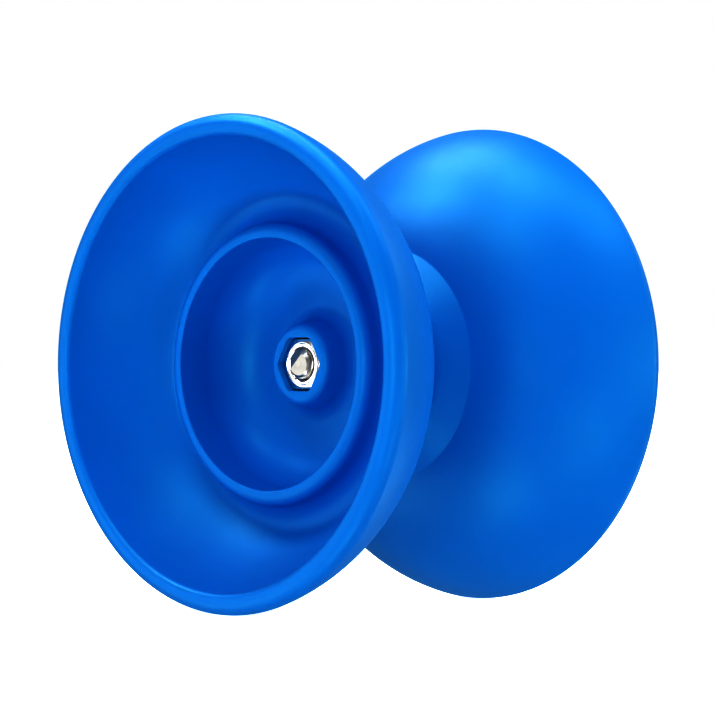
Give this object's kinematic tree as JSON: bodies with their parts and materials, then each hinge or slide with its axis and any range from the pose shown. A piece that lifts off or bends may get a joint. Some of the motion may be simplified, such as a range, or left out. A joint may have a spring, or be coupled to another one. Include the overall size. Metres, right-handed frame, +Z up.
{
  "type": "diabolo",
  "caption": "Ball-bearing diabolo: two deep moulded cups back to back on a threaded stud, with captive nuts and a freely turning steel string sleeve between the hubs.",
  "frame": {"origin": "middle of the string gap on the spin axis", "axes": "+Y along the spin axis towards the rear cup's mouth, -Y out of the front cup's mouth, +Z up with the diabolo lying on its rims"},
  "size_m": [0.0956, 0.0752, 0.0956],
  "materials": {
    "cup_plastic": "satin moulded plastic, royal blue",
    "nut_chrome": "bright chrome plating",
    "stud_zinc": "bright zinc plating",
    "shim_steel": "stamped steel",
    "sleeve_steel": "turned and polished steel",
    "race_steel": "ground bearing steel",
    "shield_steel": "pressed steel",
    "cage_brass": "machined brass",
    "ball_steel": "polished bearing steel"
  },
  "bodies": {
    "cups": {"front_cup": "cup_plastic", "rear_cup": "cup_plastic", "front_nut": "nut_chrome", "rear_nut": "nut_chrome", "axle_stud": "stud_zinc", "centre_shim": "shim_steel", "front_shim": "shim_steel", "rear_shim": "shim_steel", "front_inner_race": "race_steel", "rear_inner_race": "race_steel"},
    "sleeve": {"string_sleeve": "sleeve_steel", "front_outer_race": "race_steel", "rear_outer_race": "race_steel", "front_outside_shield": "shield_steel", "front_inside_shield": "shield_steel", "rear_outside_shield": "shield_steel", "rear_inside_shield": "shield_steel"},
    "front_balls": {"front_cage": "cage_brass", "front_ball_1": "ball_steel", "front_ball_2": "ball_steel", "front_ball_3": "ball_steel", "front_ball_4": "ball_steel", "front_ball_5": "ball_steel", "front_ball_6": "ball_steel", "front_ball_7": "ball_steel"},
    "rear_balls": {"rear_cage": "cage_brass", "rear_ball_1": "ball_steel", "rear_ball_2": "ball_steel", "rear_ball_3": "ball_steel", "rear_ball_4": "ball_steel", "rear_ball_5": "ball_steel", "rear_ball_6": "ball_steel", "rear_ball_7": "ball_steel"}
  },
  "joints": [
    {"name": "sleeve_spin", "type": "hinge", "parent": "cups", "child": "sleeve", "pos_m": [0, 0, 0], "axis": [0, 1, 0], "continuous": true},
    {"name": "front_cage_spin", "type": "hinge", "parent": "cups", "child": "front_balls", "pos_m": [0, -0.0032, 0], "axis": [0, 1, 0], "continuous": true},
    {"name": "rear_cage_spin", "type": "hinge", "parent": "cups", "child": "rear_balls", "pos_m": [0, 0.0032, 0], "axis": [0, 1, 0], "continuous": true}
  ],
  "couplings": [
    {"joint": "front_cage_spin", "follows": "sleeve_spin", "ratio": 0.61333},
    {"joint": "rear_cage_spin", "follows": "sleeve_spin", "ratio": 0.61333}
  ]
}
